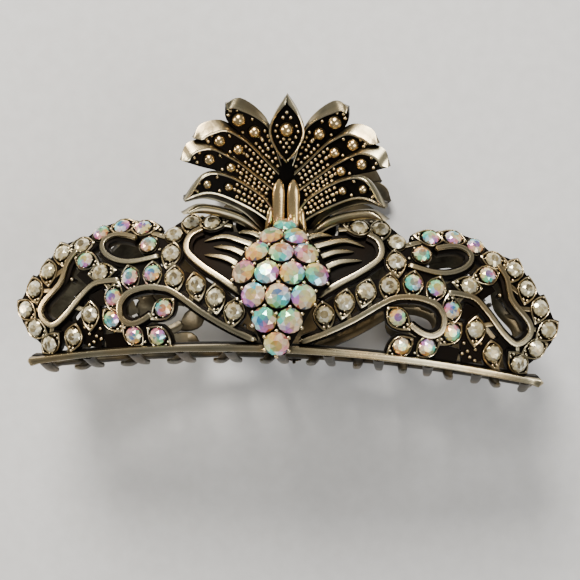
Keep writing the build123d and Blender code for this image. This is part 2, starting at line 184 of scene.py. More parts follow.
# Leaves of the crown's right-hand side: upper edge and lower edge, both from root to tip
LEAVES = [
    ([(0.8, 32.4), (3.0, 38.3), (6.8, 41.3), (9.5, 40.6)],
     [(1.3, 30.6), (4.0, 33.2), (7.2, 36.0), (9.4, 38.3), (9.5, 40.6)]),
    ([(1.2, 31.2), (6.7, 36.0), (9.9, 38.0), (13.0, 37.2), (14.4, 35.2)],
     [(1.4, 28.0), (5.6, 30.8), (9.5, 33.4), (12.6, 34.6), (14.4, 35.2)]),
    ([(1.4, 28.5), (8.7, 33.3), (12.3, 35.1), (15.2, 34.2), (16.3, 31.8)],
     [(1.9, 25.4), (6.0, 28.6), (10.0, 30.5), (13.6, 31.2), (16.3, 31.8)]),
    ([(1.9, 25.9), (4.1, 28.1), (9.1, 30.5), (13.0, 30.3), (16.1, 26.2)],
     [(2.5, 23.6), (6.5, 25.8), (11.8, 27.4), (16.1, 26.2)]),
]
# Of each of them: width of the margin, forward curl of the tip, and radii of the two large balls
LEAF_LOOKS = [(1.25, 0.6, (1.12, 1.0)), (1.3, 0.5, (0.98, 0.88)), (1.05, 0.5, (0.92, 0.8)),
              (0.0, 0.6, (0.75, 0.7))]
LEAF_LAYER = 0.32
LOW_LEAF = ([(3.0, 21.6), (7.0, 24.6), (13.0, 25.6), (16.0, 23.9)],
            [(3.5, 20.6), (7.5, 23.0), (12.0, 24.1), (16.0, 23.9)])
SKIRT = ([(3.2, 22.6), (6.5, 26.0), (11.8, 27.6), (15.6, 26.6)],
         [(3.4, 21.8), (7.2, 24.9), (12.3, 26.4), (15.6, 25.6)])
CENTRE_LEAF = [(0, 32.6), (1.9, 34.6), (2.9, 37.2), (1.8, 40.1), (0, 42.6)]
CENTRE_BALL = (0, 37.5, 1.15)
CENTRE_BEADS = [(0, 39.95, 0.33), (0.62, 39.2, 0.31), (1.55, 38.0, 0.27), (1.8, 37.2, 0.27),
                (1.45, 36.4, 0.29), (0.45, 36.1, 0.29), (1.0, 35.6, 0.27), (0, 35.5, 0.3),
                (0.45, 34.9, 0.27), (0, 34.2, 0.27)]

# Polish of the metal, from 0 in the oxidised recesses to 1 on the rubbed edges, and more where
# the plating is left golden; the backs get a low level of their own, painted shade that stands for a dark
# table's reflection
# The highest level, on the stem's petals, is a painted warm gold reflection
DARK, DULL, SHADED_BACK, WORN, BRIGHT, RUBBED, GOLDEN, GOLD_REFLECTION = 0.0, 0.22, 0.36, 0.66, 0.82, 1.0, 1.13, 1.3

# Camera, in the clip frame and degrees, and studio lights in metres in the row frame, each as
# name, place, size, power and colour
CAMERA_AT = Vector((18.06, -2.84, 230.42))
CAMERA_TURN = (4.265, 4.258, 2.491)
CAMERA_LENS = 86.9
LIGHTS = [("key", (-0.08, 0.34, 0.40), 0.20, 5.0, (1.0, 0.98, 0.95)),
          ("fill", (0.30, -0.20, 0.45), 0.30, 1.6, (0.95, 0.97, 1.0)),
          ("edge", (-0.45, 0.02, 0.22), 0.12, 1.4, (1.0, 0.92, 0.78))]
LIGHT_AIM = Vector((0, 0, 0.02))
FLOOR_HALF = 3.0


# ------------------------ places on the clip's surfaces

def wall(x, y, out=0.0):
    """Point of the wing wall above (x, y), moved out along its normal, and that normal."""
    ring = WALL_MAJOR_R + math.sqrt(WALL_PROFILE_R ** 2 - (y - WALL_APEX_Y) ** 2)
    z = WALL_AXIS_Z + math.sqrt(ring ** 2 - x ** 2)
    radial = Vector((x, 0, z - WALL_AXIS_Z)).normalized()
    centre = Vector((0, WALL_APEX_Y, WALL_AXIS_Z)) + radial * WALL_MAJOR_R
    normal = (Vector((x, y, z)) - centre).normalized()
    return Vector((x, y, z)) + normal * out, normal


def bed(lift, side, radius):
    """Point of the cluster's dome at a lift and a side angle, and its normal."""
    normal = Vector((math.cos(lift) * math.sin(side), math.sin(lift), math.cos(lift) * math.cos(side)))
    return BED_CENTRE + normal * radius, normal


def crown(x, y, out=0.0):
    """Point of the crown's tube above (x, y), moved forward along its normal, and that normal."""
    forward = Vector((0, -math.sin(CROWN_LEAN), math.cos(CROWN_LEAN)))
    along = Vector((0, math.cos(CROWN_LEAN), math.sin(CROWN_LEAN)))
    rise = CROWN_R - math.sqrt(CROWN_R ** 2 - x ** 2)
    reach = (y - CROWN_FOOT.y + rise * math.sin(CROWN_LEAN)) / math.cos(CROWN_LEAN)
    normal = (forward * (CROWN_R - rise) - Vector((x, 0, 0))) / CROWN_R
    return CROWN_FOOT + along * reach + forward * rise + Vector((x, 0, 0)) + normal * out, normal


def rim_height(x):
    """Height of the rim bar's middle line at x."""
    sagitta_r = (RIM_HALF ** 2 + RIM_RISE ** 2) / (2 * RIM_RISE)
    return RIM_RISE - sagitta_r + math.sqrt(sagitta_r ** 2 - x ** 2)


def smooth_route(points, parts=14):
    """Samples of a Catmull-Rom curve through the points."""
    pts = [Vector(p) for p in points]
    if len(pts) == 2:
        return [pts[0].lerp(pts[1], i / parts) for i in range(parts + 1)]
    ends = [pts[0] * 2 - pts[1]] + pts + [pts[-1] * 2 - pts[-2]]
    samples = []
    for a, b, c, d in zip(ends, ends[1:], ends[2:], ends[3:]):
        for i in range(parts):
            t = i / parts
            samples.append(0.5 * (2 * b + (c - a) * t + (2 * a - 5 * b + 4 * c - d) * t * t
                                  + (3 * b - a - 3 * c + d) * t * t * t))
    return samples + [pts[-1]]


def spaced(points, count):
    """Evenly spaced places along a smooth route, both ends included."""
    samples = smooth_route(points)
    travelled = [0.0]
    for a, b in zip(samples, samples[1:]):
        travelled.append(travelled[-1] + (b - a).length)
    places = []
    k = 0
    for i in range(count):
        goal = travelled[-1] * i / (count - 1)
        while k < len(samples) - 2 and travelled[k + 1] < goal:
            k += 1
        share = (goal - travelled[k]) / max(travelled[k + 1] - travelled[k], 1e-9)
        places.append(samples[k].lerp(samples[k + 1], share))
    return places


def wing_stones():
    """(spot, group, direction of the setting) of every stone in the right-hand wing."""
    stones = []
    for name, (route, groups) in ROWS.items():
        settings = [(group, direction) for group, turns in groups.items() for direction in turns]
        if name in CORNER_ROWS or len(route) == 1:
            places = [Vector(p) for p in route]
        else:
            places = spaced(route, len(settings))
        stones += [(spot, *setting) for spot, setting in zip(places, settings)]
    return stones


def cluster_normals():
    """Outward normals of the cluster's stones, from the lowest row up and from left to right."""
    normals = []
    for row, count in enumerate(CLUSTER_ROWS):
        lift = math.radians(CLUSTER_FIRST + CLUSTER_ROW_STEP * row)
        for i in range(count):
            side = math.radians(CLUSTER_SIDE_STEP) * (i - (count - 1) / 2) / math.cos(lift)
            normals.append(bed(lift, side, 1.0)[1])
    return normals


# ------------------------ mesh building

class Shape:
    """Vertices, faces and the polish of each vertex, collected in mm in the clip frame."""

    def __init__(self):
        self.verts, self.faces, self.polish = [], [], []

    def add(self, verts, faces, polish):
        base = len(self.verts)
        self.verts += verts
        self.faces += [tuple(base + i for i in f) for f in faces]
        self.polish += polish

    def join(self, other, mirror=False):
        """Adds another shape, or its mirror image across the clip's middle."""
        if mirror:
            verts = [Vector((-v.x, v.y, v.z)) for v in other.verts]
            self.add(verts, [tuple(reversed(f)) for f in other.faces], other.polish)
        else:
            self.add(other.verts, other.faces, other.polish)

    def rings(self, rings, closed=False):
        """Skins a run of equal rings of (point, polish), closing the ends with caps or the run
        into a loop."""
        n = len(rings[0])
        faces = []
        last = len(rings) if closed else len(rings) - 1
        for k in range(last):
            a, b = k * n, ((k + 1) % len(rings)) * n
            faces += [(a + i, a + (i + 1) % n, b + (i + 1) % n, b + i) for i in range(n)]
        if not closed:
            faces.append(tuple(range(n - 1, -1, -1)))
            faces.append(tuple((len(rings) - 1) * n + i for i in range(n)))
        self.add([point for ring in rings for point, _ in ring], faces,
                 [shine for ring in rings for _, shine in ring])


def tangent_frame(normal, direction):
    """Two unit vectors in the plane across a normal, the first nearest to a direction."""
    first = (direction - normal * direction.dot(normal)).normalized()
    return first, normal.cross(first)


def ease(t, at_start, at_end):
    """Width factor that rounds off a bar's ends over the given shares of its length."""
    factor = 1.0
    if at_start > 0 and t < at_start:
        factor = math.sqrt(max(1 - (1 - t / at_start) ** 2, 0))
    if at_end > 0 and t > 1 - at_end:
        factor = min(factor, math.sqrt(max(1 - (1 - (1 - t) / at_end) ** 2, 0)))
    return max(factor, 0.12)


def sweep(shape, stations, section, ends, taper=lambda t: 1.0):
    """Sweeps a closed section of (side, up, polish) points along stations of (point, normal), with
    its ends rounded off over the given shares of the way."""
    rings = []
    count = len(stations)
    for i, (point, normal) in enumerate(stations):
        ahead = stations[min(i + 1, count - 1)][0] - stations[max(i - 1, 0)][0]
        side = tangent_frame(normal, ahead)[1]
        t = i / (count - 1)
        width = ease(t, *ends) * taper(t)
        rings.append([(point + side * (s * width) + normal * (u * width if u > 0 else u), shine)
                      for s, u, shine in section])
    shape.rings(rings)


def mirrored(profile):
    """The other half of a symmetric section, in the order that goes on round it."""
    return [(-side, up, shine) for side, up, shine in reversed(profile)]


def bar_section(width, height, back=WALL_BACK, flange=0.0):
    """Ribbon bar with a flat top, rubbed edges and a smooth back darkened with painted shade; the flange is
    a dark margin.
    """
    half = width / 2
    right = [(half, 0.0, DARK), (half, height * 0.62, BRIGHT), (half * 0.82, height * 0.94, RUBBED),
             (half * 0.45, height, BRIGHT)]
    edge = half + flange
    left_flank = [(-edge, -0.15, DARK), (-edge, back * 0.8, SHADED_BACK), (-half * 0.7, back, SHADED_BACK)]
    return right + [(0.0, height * 0.95, WORN)] + mirrored(right) + left_flank + mirrored(left_flank)


def circle(centre, e1, e2, radius, lift, count, offset=0.0):
    """Points round a centre, all moved by a lift; the offset is a share of the step between them."""
    points = []
    for i in range(count):
        a = 2 * math.pi * (i + offset) / count
        points.append(centre + e1 * (radius * math.cos(a)) + e2 * (radius * math.sin(a)) + lift)
    return points


def lathe(shape, centre, normal, profile, sides, closed=True):
    """Turns a profile of (radius, up, polish) points about a normal; closed joins its two ends."""
    e1, e2 = tangent_frame(normal, Vector((0, 1, 0.01)))
    shape.rings([[(point, shine) for point in circle(centre, e1, e2, radius, normal * up, sides)]
                 for radius, up, shine in profile], closed)


def bead(shape, centre, normal, radius, sides, polish=RUBBED):
    """Small cast ball, dull where it meets the metal under it."""
    steps = 5
    profile = []
    for i in range(steps + 1):
        a = math.pi * (0.06 + 0.88 * i / steps) - math.pi / 2
        profile.append((radius * math.cos(a), radius * math.sin(a), polish if a > -0.2 else DULL))
    lathe(shape, centre, normal, profile, sides, closed=False)


def grown(points, amount):
    """The outline of (along, across) points, pushed in or out by about an amount."""
    reach = max(abs(p[1]) for p in points)
    return [(a * (1 + 1.25 * amount / reach), c * (1 + amount / reach)) for a, c in points]


def leaf_outline(bead_end, plain_end, width):
    """Pointed outline round the origin, from its beaded end to its plain end and back."""
    points = []
    steps = 9
    for side in (1, -1):
        for i in range(steps):
            a = math.pi * i / steps
            along = math.cos(a) if side > 0 else -math.cos(a)
            reach = bead_end if along > 0 else plain_end
            across = width / 2 * (1 - abs(along) ** 1.9)
            points.append((along * reach, side * across))
    return points


def leaf_setting(shape, spot, direction, rng):
    """Leaf-shaped setting with a rubbed rim, a dark floor and cast beads at its two ends."""
    centre, normal = wall(spot.x, spot.y)
    angle = math.radians(direction)
    e1, e2 = tangent_frame(normal, Vector((math.cos(angle), math.sin(angle), 0)))
    outline = leaf_outline(bead_end=2.95, plain_end=2.3, width=3.5)
    loops = [(-0.1, WALL_BACK, SHADED_BACK), (0.12, WALL_BACK * 0.8, SHADED_BACK), (0.12, -0.1, DARK),
             (-0.03, -0.05, DARK), (-0.06, 0.3, BRIGHT), (-0.16, 0.38, RUBBED), (-0.27, 0.3, BRIGHT),
             (-0.32, -0.02, DARK)]
    shape.rings([[(centre + e1 * a + e2 * c + normal * up, shine) for a, c in grown(outline, inset)]
                 for inset, up, shine in loops])
    for along, across, radius in ((1.9, 0.34, 0.3), (1.9, -0.34, 0.3), (2.4, 0.0, 0.24), (-1.85, 0.0, 0.25)):
        wobble = rng.uniform(-0.04, 0.04)
        at = centre + e1 * (along + wobble) + e2 * (across + wobble) + normal * 0.16
        bead(shape, at, normal, radius, sides=8)


def stone_collar(shape, spot):
    """Thin collar round a small stone, with four claws pressed over its edge."""
    centre, normal = wall(spot.x, spot.y)
    profile = [(SMALL_R + 0.14, -0.3, DARK), (SMALL_R + 0.13, 0.2, DULL), (SMALL_R + 0.08, 0.3, WORN),
               (SMALL_R + 0.03, 0.28, DULL), (SMALL_R + 0.01, -0.3, DARK)]
    lathe(shape, centre, normal, profile, sides=20)
    e1, e2 = tangent_frame(normal, Vector((0.7, 0.7, 0)))
    for i in range(4):
        a = math.pi / 4 + math.pi / 2 * i
        at = centre + (e1 * math.cos(a) + e2 * math.sin(a)) * (SMALL_R + 0.06) + normal * 0.36
        bead(shape, at, normal, 0.15, sides=6)


def round_setting(shape, spot):
    """Plain round cup under a stone."""
    centre, normal = wall(spot.x, spot.y)
    profile = [(1.45, WALL_BACK, SHADED_BACK), (1.66, WALL_BACK * 0.8, SHADED_BACK), (1.7, 0.0, DULL), (1.6, 0.14, BRIGHT),
               (1.4, 0.02, DARK)]
    lathe(shape, centre, normal, profile, sides=20, closed=False)


def on_wall(route, parts, out=0.0):
    """Stations along a smooth route on the wing wall."""
    return [wall(p.x, p.y, out) for p in smooth_route(route, parts)]


def band_under(shape, route, width):
    """Dark web that joins a row's settings."""
    half = width / 2
    section = [(half, -0.12, DARK), (-half, -0.12, DARK), (-half * 0.9, WALL_BACK, SHADED_BACK),
               (half * 0.9, WALL_BACK, SHADED_BACK)]
    sweep(shape, on_wall(route, 10), section, ends=(0, 0))


# ------------------------ the jaw castings

def wing_webs(wing):
    """Dark webs under the rows of settings and between them."""
    for name, (route, _) in ROWS.items():
        if name in CORNER_ROWS:
            for a, b in zip(route, route[1:]):
                band_under(wing, [a, b], 2.4)
        elif len(route) > 1:
            band_under(wing, route, 2.9)
    for route, width in WEBS:
        band_under(wing, route, width)


def wing_beads(wing):
    """Loose beads, each on a dark foot."""
    for x, y in LOOSE_BEADS:
        point, normal = wall(x, y, -0.1)
        profile = [(0.42, WALL_BACK + 0.4, SHADED_BACK), (0.42, -0.1, DARK)]
        lathe(wing, point, normal, profile, sides=8, closed=False)
        bead(wing, point + normal * 0.12, normal, 0.3, sides=8)


def make_wing(rng):
    """Filigree of the right-hand wing: bars, webs, settings, collars, ribs, ties and loose beads."""
    wing = Shape()
    for route, width in BARS.values():
        sweep(wing, on_wall(route, 8), bar_section(width, 0.62, flange=0.42), ends=(0.02, 0.02))
    wing_webs(wing)
    for spot, _, direction in wing_stones():
        if direction is None:
            round_setting(wing, spot)
        else:
            leaf_setting(wing, spot, direction, rng)
        stone_collar(wing, spot)
    for route in FIELD_RIBS:
        sweep(wing, on_wall(route, 8, -0.5), bar_section(1.0, 0.7, -0.5), ends=(0, 0.6),
              taper=lambda t: 1.05 - 0.3 * t)
    sunk_field(wing)
    for (x0, y0), (x1, y1) in TIES:
        stations = [wall(x0 + (x1 - x0) * i / 4, y0 + (y1 - y0) * i / 4, -0.15) for i in range(5)]
        sweep(wing, stations, bar_section(0.8, 0.3, WALL_BACK + 0.15), ends=(0, 0))
    wing_beads(wing)
    return wing


def sunk_field(shape):
    """Dark floor inside the inner loop."""
    rings = []
    for top, low in zip(spaced(FIELD[0], 13), spaced(FIELD[1], 13)):
        cuts = [top.lerp(low, i / 6) for i in range(7)]
        rings.append([(wall(p.x, p.y, FIELD_DEPTH)[0], DARK) for p in cuts]
                     + [(wall(p.x, p.y, WALL_BACK)[0], SHADED_BACK) for p in cuts[::-1]])
    shape.rings(rings)


def make_rim():
    """Arched rim bar that stands proud of the wall, with a flattened tab at each end."""
    rim = Shape()
    count = 80
    stations = []
    for i in range(count + 1):
        x = RIM_HALF * (2 * i / count - 1)
        stations.append(wall(x, rim_height(x), 0.1))
    section = bar_section(1.15, 0.85, flange=0.1)
    sweep(rim, stations, section, ends=(0.003, 0.003),
          taper=lambda t: 1.0 + 0.04 * math.sin(37 * t) + 0.3 * (abs(2 * t - 1) > 0.965))
    return rim


def make_tooth(x):
    """One tapered, curved tooth from the rim inwards to just past the parting plane."""
    tooth = Shape()
    y = rim_height(x)
    top = wall(x, y)[0].z
    rings = []
    steps = 12
    for i in range(steps + 1):
        t = i / steps
        z = (top - 0.2) * (1 - t) - TOOTH_PAST_MIDDLE * t
        centre_y = y - 0.1 - TOOTH_BOW * math.sin(math.pi * t * 0.62)
        half_x = 0.95 - 0.45 * t if i < steps else 0.28
        half_y = 0.8 - 0.42 * t if i < steps else 0.2
        ring = []
        for k in range(12):
            a = 2 * math.pi * k / 12
            c, s = math.cos(a), math.sin(a)
            ring.append((Vector((x + half_x * math.copysign(abs(c) ** 0.7, c),
                                 centre_y + half_y * math.copysign(abs(s) ** 0.7, s), z)),
                         DULL + 0.35 * t))
        rings.append(ring)
    tooth.rings(rings)
    return tooth


def make_bed():
    """Domed bed under the cluster: a thick curved plate, a cup for each stone, and claws."""
    dome = Shape()
    make_dome(dome)
    for normal in cluster_normals():
        profile = [(2.0, -1.2, DARK), (2.03, 0.2, DULL), (1.98, 0.3, WORN), (1.9, 0.26, DULL),
                   (1.7, -0.2, DARK)]
        lathe(dome, BED_CENTRE + normal * SEAT_R, normal, profile, sides=24, closed=False)
    for claw in cluster_claws():
        bead(dome, BED_CENTRE + claw * CLAW_R, claw, 0.34, sides=8)
    return dome


def make_dome(shape):
    """Curved plate that narrows above and below the cluster's widest row."""
    rings = []
    rows, across = 22, 6
    low, high = math.radians(DOME_OUTLINE[0][0]), math.radians(DOME_OUTLINE[-1][0])
    for i in range(rows + 1):
        lift = low + (high - low) * i / rows
        degrees = math.degrees(lift)
        k = max(j for j in range(len(DOME_OUTLINE) - 1) if DOME_OUTLINE[j][0] <= degrees + 1e-6)
        (d0, w0), (d1, w1) = DOME_OUTLINE[k], DOME_OUTLINE[k + 1]
        half = w0 + (w1 - w0) * (degrees - d0) / (d1 - d0)
        side = math.asin(min(half / OUTLINE_R / math.cos(lift), 0.99))
        steps = range(2 * across + 1)
        # the back rings take the backs' low polish: painted shade
        rings.append([(bed(lift, side * (j / across - 1), DOME_R)[0], DARK) for j in steps]
                     + [(bed(lift, side * (1 - j / across) * 0.97, DOME_BACK_R)[0], SHADED_BACK) for j in steps])
    shape.rings(rings)


def cluster_claws():
    """Directions of the claws round the cluster's stones, with neighbours sharing theirs."""
    claws = []
    for normal in cluster_normals():
        e1, e2 = tangent_frame(normal, Vector((1, 0, 0)))
        for i in range(6):
            a = math.radians(30 + 60 * i)
            claw = (normal + (e1 * math.cos(a) + e2 * math.sin(a)) * 0.152).normalized()
            if all((claw - c).length > 0.07 for c in claws):
                claws.append(claw)
    return claws


def flange_width(t, flange):
    """Width of a leaf's bevelled margin at a share of the way from root to tip."""
    return flange * min(max((t - 0.4) / 0.35, 0), 1) + 0.1


def tip_lift(t, ahead, curl):
    """How far a leaf stands forward of the crown's tube, with the last part of it curled."""
    return ahead + curl * max((t - 0.55) / 0.45, 0) ** 2


def blade(shape, upper, lower, ahead, flange, low_rim, curl):
    """Crown leaf between two edges: rubbed rims, dark field, and a margin that falls back."""
    steps = 34
    rings = []
    for i, (top, low) in enumerate(zip(spaced(upper, steps + 1), spaced(lower, steps + 1))):
        t = i / steps
        width = max((low - top).length, 0.02)
        band = flange_width(t, flange)
        cuts = [(0.0, -0.9 if band > 0.3 else -0.3, BRIGHT), (0.15, -0.72 if band > 0.3 else -0.2, WORN),
                (band * 0.6, -0.2, WORN), (band, 0.28, BRIGHT), (band + 0.14, 0.4, RUBBED),
                (band + 0.32, 0.36, RUBBED), (band + 0.42, -0.12, DARK)]
        if low_rim:
            far = [(0.46, -0.12, DARK), (0.36, 0.36, RUBBED), (0.16, 0.4, RUBBED), (0.0, 0.2, BRIGHT)]
        else:
            far = [(0.3, -0.12, DARK), (0.2, -0.12, DARK), (0.1, -0.15, DARK), (0.0, -0.2, DARK)]
        squeeze = min(1.0, width / (band + 0.42 + far[0][0]))
        lift = tip_lift(t, ahead, curl)
        ring = []
        for start, end, edge in ((top, low, cuts), (low, top, far[::-1])):
            placed = [(start.lerp(end, inward * squeeze / width), up, shine) for inward, up, shine in edge]
            for p, up, shine in placed if edge is cuts else placed[::-1]:
                ring.append((crown(p.x, p.y, lift + up * squeeze)[0], shine))
        ring += [(crown(p.x, p.y, lift - 1.0)[0], SHADED_BACK) for p in (low.lerp(top, 0.08), top.lerp(low, 0.08))]
        rings.append(ring)
    shape.rings(rings)


def blade_beads(shape, upper, lower, ahead, flange, low_rim, curl, balls):
    """Two large cast balls towards a leaf's tip and rows of small ones down to its root."""
    count = 81
    tops, lows = spaced(upper, count), spaced(lower, count)

    def at(t, across):
        i = min(int(t * (count - 1)), count - 1)
        top, low = tops[i], lows[i]
        width = max((low - top).length, 0.02)
        near, far = flange_width(t, flange) + 0.42, 0.46 if low_rim else 0.25
        p = top.lerp(low, (near + (width - near - far) * across) / width)
        return crown(p.x, p.y, tip_lift(t, ahead, curl)), width - near - far

    for t, radius in zip((0.72, 0.5), balls):
        (point, normal), room = at(t, 0.5)
        radius = min(radius, max(room * 0.52, 0.35))
        bead(shape, point + normal * 0.1, normal, radius, sides=16, polish=GOLDEN)
    for t, across in ((0.86, 0.3), (0.84, 0.75), (0.9, 0.55), (0.61, 0.12), (0.61, 0.88), (0.79, 0.05),
                      (0.4, 0.5)):
        (point, normal), room = at(t, across)
        if room > 0.5:
            bead(shape, point, normal, 0.3, sides=8, polish=GOLDEN)
    step = 0.84 / sum((b - a).length for a, b in zip(tops, tops[1:]))
    t = 0.42
    while t > 0.06:
        room = at(t, 0.5)[1]
        across_count = min(max(int(room / 0.72), 1), 3)
        for k in range(across_count):
            point, normal = at(t + step * 0.4 * (k % 2), (k + 0.5) / across_count)[0]
            bead(shape, point, normal, 0.32, sides=8, polish=GOLDEN)
        t -= step


def stem_petals(shape):
    """Two broad petals with a groove between them at the crown's root, and one outside each."""
    foot, steps = 21.5, 12
    for x0, x1, y1, width in ((1.3, 1.15, 30.2, 2.2), (3.0, 2.5, 26.2, 1.1)):
        for sign in (1, -1):
            stations = [crown(sign * (x0 + (x1 - x0) * i / steps), foot + (y1 - foot) * i / steps, 1.0)
                        for i in range(steps + 1)]
            # the petals' crests are painted full gold: a painted warm reflection
            right = [(width * 0.5, -0.1, DULL), (width * 0.42, 0.4, GOLD_REFLECTION), (width * 0.2, 0.62, GOLD_REFLECTION)]
            sweep(shape, stations, right + mirrored(right) + [(0.0, -0.8, DARK)], ends=(0, 0.3))


def plain_leaf(shape, edges, count, cuts):
    """Leaf without beads; its cuts are (share of the way across, lift, polish)."""
    shape.rings([[(crown(*top.lerp(low, across), up)[0], shine) for across, up, shine in cuts]
                 for top, low in zip(spaced(edges[0], count), spaced(edges[1], count))])


def low_leaves(shape):
    """Smooth curved leaf under the beaded ones, and the dull one that shows behind it."""
    plain_leaf(shape, LOW_LEAF, 25, (
        (0.0, 0.2, BRIGHT), (0.12, 0.62, RUBBED), (0.35, 0.85, WORN), (0.65, 0.85, WORN),
        (0.88, 0.62, BRIGHT), (1.0, 0.2, DULL), (0.9, -0.8, SHADED_BACK), (0.1, -0.8, SHADED_BACK)))
    plain_leaf(shape, SKIRT, 21, (
        (0.0, 0.5, DULL), (0.7, 0.3, DULL), (0.9, 0.38, WORN), (1.0, 0.2, WORN), (0.9, -0.7, SHADED_BACK),
        (0.1, -0.7, SHADED_BACK)))


def make_crown():
    """Fan of beaded leaves with the smooth low ones, the centre leaf, and the petalled stem."""
    half = Shape()
    low_leaves(half)
    for k, ((upper, lower), (flange, curl, balls)) in enumerate(zip(LEAVES, LEAF_LOOKS)):
        look = dict(ahead=0.1 + LEAF_LAYER * k, flange=flange, low_rim=k == len(LEAVES) - 1, curl=curl)
        blade(half, upper, lower, **look)
        blade_beads(half, upper, lower, balls=balls, **look)
    whole = Shape()
    whole.join(half)
    whole.join(half, mirror=True)
    stem_petals(whole)
    neck = [crown(0, 20 + 13 * i / 10) for i in range(11)]
    sweep(whole, neck, [(3.4, 0.2, DARK), (-3.4, 0.2, DARK), (-3.3, -1.3, SHADED_BACK), (3.3, -1.3, SHADED_BACK)],
          ends=(0, 0), taper=lambda t: 1 - 0.55 * t)
    shoulder = [crown(-7.9 + 15.8 * i / 12, 22.7) for i in range(13)]
    sweep(whole, shoulder, [(2.9, -0.1, DARK), (-2.9, -0.1, DARK), (-2.8, -1.4, DULL), (2.8, -1.4, DULL)],
          ends=(0.08, 0.08))
    centre_leaf(whole)
    return whole


def centre_leaf(shape):
    """Upright pointed leaf in the crown's middle, rimmed all round and beaded inside."""
    edge = spaced(CENTRE_LEAF, 33)
    ahead = 1.0
    rings = []
    for i, p in enumerate(edge):
        t = i / 32
        half = max(p.x, 0.02)
        rim = 0.5 + 1.1 * max((t - 0.68) / 0.32, 0)
        squeeze = min(1.0, half / rim)
        lift = ahead + 0.5 * max((t - 0.6) / 0.4, 0) ** 2
        cuts = [(0.0, 0.0, BRIGHT), (0.1, 0.34, RUBBED), (rim * 0.5, 0.4, RUBBED), (rim * 0.85, 0.3, BRIGHT),
                (rim, -0.12, DARK)]
        ring = []
        for s in (1, -1):
            for inward, up, shine in (cuts if s > 0 else cuts[::-1]):
                x = s * max(half - inward * squeeze, 0.0)
                ring.append((crown(x, p.y, lift + up * squeeze)[0], shine))
        rings.append(ring + [(crown(s * half, p.y, lift - 1.1)[0], SHADED_BACK) for s in (-0.92, 0.92)])
    shape.rings(rings)
    x, y, r = CENTRE_BALL
    point, normal = crown(x, y, ahead)
    bead(shape, point + normal * 0.1, normal, r, sides=16, polish=GOLDEN)
    for x, y, r in CENTRE_BEADS:
        for sign in (1, -1) if x > 0 else (1,):
            point, normal = crown(sign * x, y, ahead)
            bead(shape, point, normal, r, sides=8, polish=GOLDEN)


def make_lug(x):
    """Hinge ear bored for the pin, from its eye up to the bed and the crown's foot, with bevels."""
    outline = []
    for i in range(9):
        a = math.pi + math.pi * i / 8
        outline.append(Vector((LUG_EYE_R * math.cos(a), LUG_EYE_R * math.sin(a))))
    outline += [Vector(p) for p in LUG_SHANK]
    face, bevel, parts = LUG_T / 2, 0.25, 4
    rings = []
    for here, there in zip(outline, outline[1:] + outline[:1]):
        for i in range(parts):
            p = here.lerp(there, i / parts)
            way, reach = p.normalized(), p.length
            cuts = ((reach - bevel, -face), (reach, bevel - face), (reach, face - bevel),
                    (reach - bevel, face), (LUG_BORE_R, face), (LUG_BORE_R, -face))
            # the whole ear takes the backs' low polish: painted shade
            rings.append([(Vector((x + across, HINGE_Y + way.x * out, way.y * out)), SHADED_BACK)
                          for out, across in cuts])
    lug = Shape()
    lug.rings(rings, closed=True)
    return lug


def make_jaw(teeth):
    """A whole jaw casting, in the front jaw's place."""
    jaw = Shape()
    wing = make_wing(random.Random(7))
    jaw.join(wing)
    jaw.join(wing, mirror=True)
    for part in (make_rim(), make_bed(), make_crown(), *map(make_lug, LUG_X), *map(make_tooth, teeth)):
        jaw.join(part)
    return jaw


# ------------------------ stones, spring

def cut_stone(centre, normal, radius, cut, turn, palette, rng):
    """A faceted stone: split table, star facets, kites, girdle facets and a tapered back.
    Returns its vertices, faces and one colour for each face, colours that paint in the stone's glints and
    inner shade."""
    foot, girdle, height = cut
    e1, e2 = tangent_frame(normal, Vector((math.cos(turn), math.sin(turn), 0.02)))
    top = foot + girdle + height
    verts = [centre + normal * top]
    for share, up, count, offset in (
            (0.5, top, 8, 0.0), (0.8, foot + girdle + height * 0.5, 8, 0.5), (1.0, foot + girdle, 16, 0.0),
            (1.0, foot + girdle * 0.4, 16, 0.0), (0.78, 0.0, 16, 0.0)):
        verts += circle(centre, e1, e2, radius * share, normal * up, count, offset)
    table, mids, edge, under, back = 1, 9, 17, 33, 49
    faces, colours = [], []
    bright, deep, pavilion = palette
    core = rng.choice(deep)
    shade = rng.randrange(len(bright))
    for i in range(8):
        j = (i + 1) % 8
        shade += rng.choice((0, 1, 1, 2))
        main = bright[shade % len(bright)]
        faces.append((0, table + i, table + j))
        colours.append(mix_colour(core, main, rng.choice((0.1, 0.2, 0.6))))
        # star facets part way to white: painted glints
        faces.append((table + i, mids + i, table + j))
        colours.append(mix_colour(main, (1.0, 1.0, 1.0), rng.uniform(0.0, 0.34)))
        faces.append((table + j, mids + i, edge + (2 * i + 2) % 16, mids + j))
        colours.append(mix_colour(main, bright[(shade + 1) % len(bright)], 0.4))
        for k in (0, 1):
            a, b = edge + (2 * i + k) % 16, edge + (2 * i + k + 1) % 16
            faces.append((mids + i, a, b))
            colours.append(mix_colour(main, rng.choice(pavilion), rng.choice((0.15, 0.5, 0.85))))
    # girdle and back facets towards the dark pavilion colours: painted shade inside the stone
    for i in range(16):
        j = (i + 1) % 16
        faces.append((edge + i, under + i, under + j, edge + j))
        faces.append((under + i, back + i, back + j, under + j))
        colours += [mix_colour(rng.choice(bright), rng.choice(pavilion), 0.6)] * 2
    faces.append(tuple(back + i for i in range(15, -1, -1)))
    colours.append(pavilion[0])
    return verts, faces, colours


def mix_colour(a, b, share):
    """Colour part of the way from one to another."""
    return tuple(p + (q - p) * share for p, q in zip(a, b))


